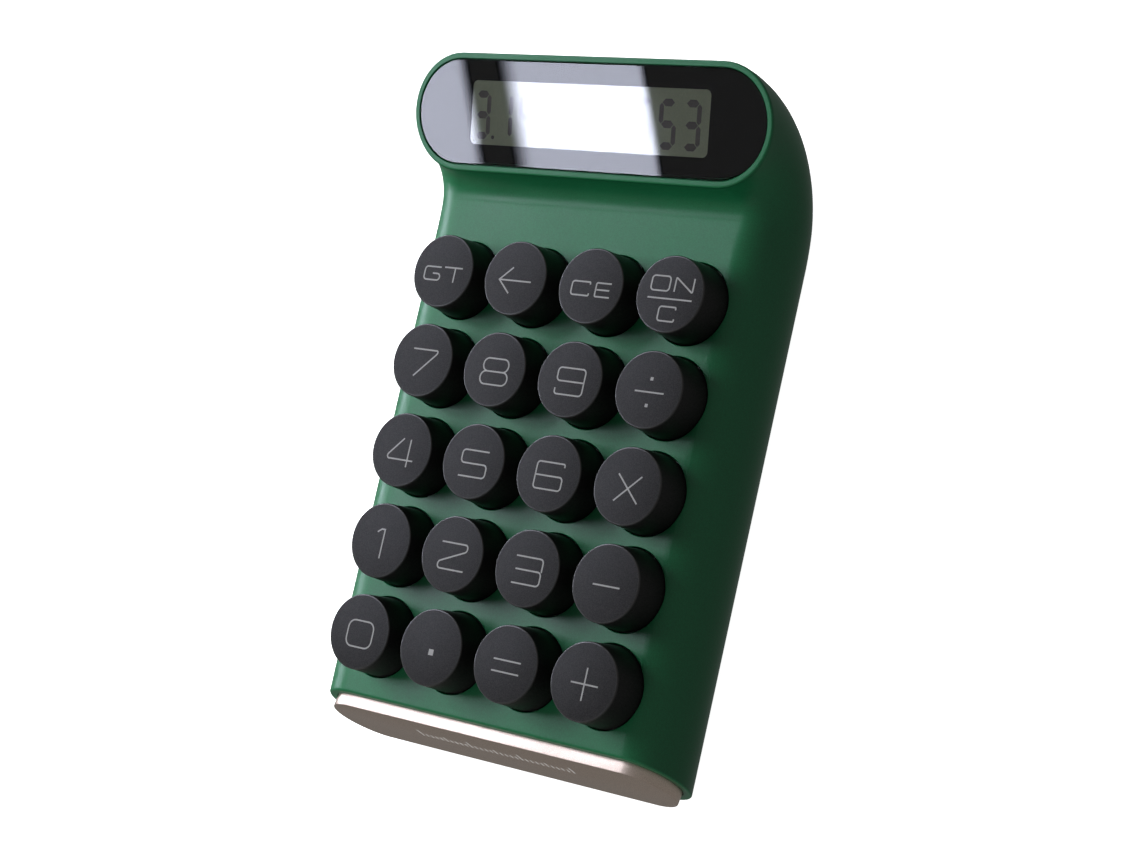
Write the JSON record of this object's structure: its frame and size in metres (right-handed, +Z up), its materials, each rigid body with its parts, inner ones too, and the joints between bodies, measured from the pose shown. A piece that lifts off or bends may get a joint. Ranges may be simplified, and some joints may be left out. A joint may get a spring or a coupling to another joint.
{
  "type": "desk calculator",
  "caption": "Palm-wide desk calculator: bent stadium-section shell, flat deck of round sprung keys, tilted display head and a metal plate on the cut front end.",
  "frame": {"origin": "on the plane of the feet, at the centre of the bounding box's base", "axes": "+X to the user's right, +Y from the front plate back to the display head, +Z up out of the key deck"},
  "size_m": [0.0896, 0.1422, 0.0337],
  "materials": {
    "shell_green": "satin, fine grain",
    "key_black": "matte, fine grain",
    "stem": "smooth",
    "plate_metal": "bead blasted, warm grey",
    "black_plastic": "matte",
    "lens": "polished",
    "mask_black": "printed, gloss behind the lens",
    "lcd": "satin, olive grey",
    "flex": "smooth",
    "board": "solder mask",
    "steel": "brushed",
    "spring_steel": "bright",
    "chip": "matte",
    "cell": "satin",
    "contact_brass": "satin",
    "rubber": "matte",
    "screw_steel": "satin"
  },
  "bodies": {
    "housing": {"main_shell": "shell_green", "back_cover": "shell_green", "battery_door": "shell_green", "end_plate": "plate_metal", "end_tray": "black_plastic", "display_lens": "lens", "display_mask": "mask_black", "lcd_frame": "black_plastic", "lcd_panel": "lcd", "lcd_flex": "flex", "main_board": "board", "switch_plate": "steel", "switch_housings": "black_plastic", "switch_springs": "spring_steel", "controller_chip": "chip", "coin_cell": "cell", "cell_contacts": "contact_brass", "feet": "rubber", "cover_screws": "screw_steel", "door_screw": "screw_steel"},
    "key_gt": {"cap_gt": "key_black", "stem_gt": "stem"},
    "key_back": {"cap_back": "key_black", "stem_back": "stem"},
    "key_ce": {"cap_ce": "key_black", "stem_ce": "stem"},
    "key_on": {"cap_on": "key_black", "stem_on": "stem"},
    "key_7": {"cap_7": "key_black", "stem_7": "stem"},
    "key_8": {"cap_8": "key_black", "stem_8": "stem"},
    "key_9": {"cap_9": "key_black", "stem_9": "stem"},
    "key_divide": {"cap_divide": "key_black", "stem_divide": "stem"},
    "key_4": {"cap_4": "key_black", "stem_4": "stem"},
    "key_5": {"cap_5": "key_black", "stem_5": "stem"},
    "key_6": {"cap_6": "key_black", "stem_6": "stem"},
    "key_multiply": {"cap_multiply": "key_black", "stem_multiply": "stem"},
    "key_1": {"cap_1": "key_black", "stem_1": "stem"},
    "key_2": {"cap_2": "key_black", "stem_2": "stem"},
    "key_3": {"cap_3": "key_black", "stem_3": "stem"},
    "key_minus": {"cap_minus": "key_black", "stem_minus": "stem"},
    "key_0": {"cap_0": "key_black", "stem_0": "stem"},
    "key_point": {"cap_point": "key_black", "stem_point": "stem"},
    "key_equals": {"cap_equals": "key_black", "stem_equals": "stem"},
    "key_plus": {"cap_plus": "key_black", "stem_plus": "stem"}
  },
  "joints": [
    {"name": "press_gt", "type": "slide", "parent": "housing", "child": "key_gt", "axis": [0, 0, -1], "range_m": [0, 0.003], "stiffness_N_per_m": 150, "springref_m": -0.001, "deforming": ["switch_springs"]},
    {"name": "press_back", "type": "slide", "parent": "housing", "child": "key_back", "axis": [0, 0, -1], "range_m": [0, 0.003], "stiffness_N_per_m": 150, "springref_m": -0.001, "deforming": ["switch_springs"]},
    {"name": "press_ce", "type": "slide", "parent": "housing", "child": "key_ce", "axis": [0, 0, -1], "range_m": [0, 0.003], "stiffness_N_per_m": 150, "springref_m": -0.001, "deforming": ["switch_springs"]},
    {"name": "press_on", "type": "slide", "parent": "housing", "child": "key_on", "axis": [0, 0, -1], "range_m": [0, 0.003], "stiffness_N_per_m": 150, "springref_m": -0.001, "deforming": ["switch_springs"]},
    {"name": "press_7", "type": "slide", "parent": "housing", "child": "key_7", "axis": [0, 0, -1], "range_m": [0, 0.003], "stiffness_N_per_m": 150, "springref_m": -0.001, "deforming": ["switch_springs"]},
    {"name": "press_8", "type": "slide", "parent": "housing", "child": "key_8", "axis": [0, 0, -1], "range_m": [0, 0.003], "stiffness_N_per_m": 150, "springref_m": -0.001, "deforming": ["switch_springs"]},
    {"name": "press_9", "type": "slide", "parent": "housing", "child": "key_9", "axis": [0, 0, -1], "range_m": [0, 0.003], "stiffness_N_per_m": 150, "springref_m": -0.001, "deforming": ["switch_springs"]},
    {"name": "press_divide", "type": "slide", "parent": "housing", "child": "key_divide", "axis": [0, 0, -1], "range_m": [0, 0.003], "stiffness_N_per_m": 150, "springref_m": -0.001, "deforming": ["switch_springs"]},
    {"name": "press_4", "type": "slide", "parent": "housing", "child": "key_4", "axis": [0, 0, -1], "range_m": [0, 0.003], "stiffness_N_per_m": 150, "springref_m": -0.001, "deforming": ["switch_springs"]},
    {"name": "press_5", "type": "slide", "parent": "housing", "child": "key_5", "axis": [0, 0, -1], "range_m": [0, 0.003], "stiffness_N_per_m": 150, "springref_m": -0.001, "deforming": ["switch_springs"]},
    {"name": "press_6", "type": "slide", "parent": "housing", "child": "key_6", "axis": [0, 0, -1], "range_m": [0, 0.003], "stiffness_N_per_m": 150, "springref_m": -0.001, "deforming": ["switch_springs"]},
    {"name": "press_multiply", "type": "slide", "parent": "housing", "child": "key_multiply", "axis": [0, 0, -1], "range_m": [0, 0.003], "stiffness_N_per_m": 150, "springref_m": -0.001, "deforming": ["switch_springs"]},
    {"name": "press_1", "type": "slide", "parent": "housing", "child": "key_1", "axis": [0, 0, -1], "range_m": [0, 0.003], "stiffness_N_per_m": 150, "springref_m": -0.001, "deforming": ["switch_springs"]},
    {"name": "press_2", "type": "slide", "parent": "housing", "child": "key_2", "axis": [0, 0, -1], "range_m": [0, 0.003], "stiffness_N_per_m": 150, "springref_m": -0.001, "deforming": ["switch_springs"]},
    {"name": "press_3", "type": "slide", "parent": "housing", "child": "key_3", "axis": [0, 0, -1], "range_m": [0, 0.003], "stiffness_N_per_m": 150, "springref_m": -0.001, "deforming": ["switch_springs"]},
    {"name": "press_minus", "type": "slide", "parent": "housing", "child": "key_minus", "axis": [0, 0, -1], "range_m": [0, 0.003], "stiffness_N_per_m": 150, "springref_m": -0.001, "deforming": ["switch_springs"]},
    {"name": "press_0", "type": "slide", "parent": "housing", "child": "key_0", "axis": [0, 0, -1], "range_m": [0, 0.003], "stiffness_N_per_m": 150, "springref_m": -0.001, "deforming": ["switch_springs"]},
    {"name": "press_point", "type": "slide", "parent": "housing", "child": "key_point", "axis": [0, 0, -1], "range_m": [0, 0.003], "stiffness_N_per_m": 150, "springref_m": -0.001, "deforming": ["switch_springs"]},
    {"name": "press_equals", "type": "slide", "parent": "housing", "child": "key_equals", "axis": [0, 0, -1], "range_m": [0, 0.003], "stiffness_N_per_m": 150, "springref_m": -0.001, "deforming": ["switch_springs"]},
    {"name": "press_plus", "type": "slide", "parent": "housing", "child": "key_plus", "axis": [0, 0, -1], "range_m": [0, 0.003], "stiffness_N_per_m": 150, "springref_m": -0.001, "deforming": ["switch_springs"]}
  ]
}
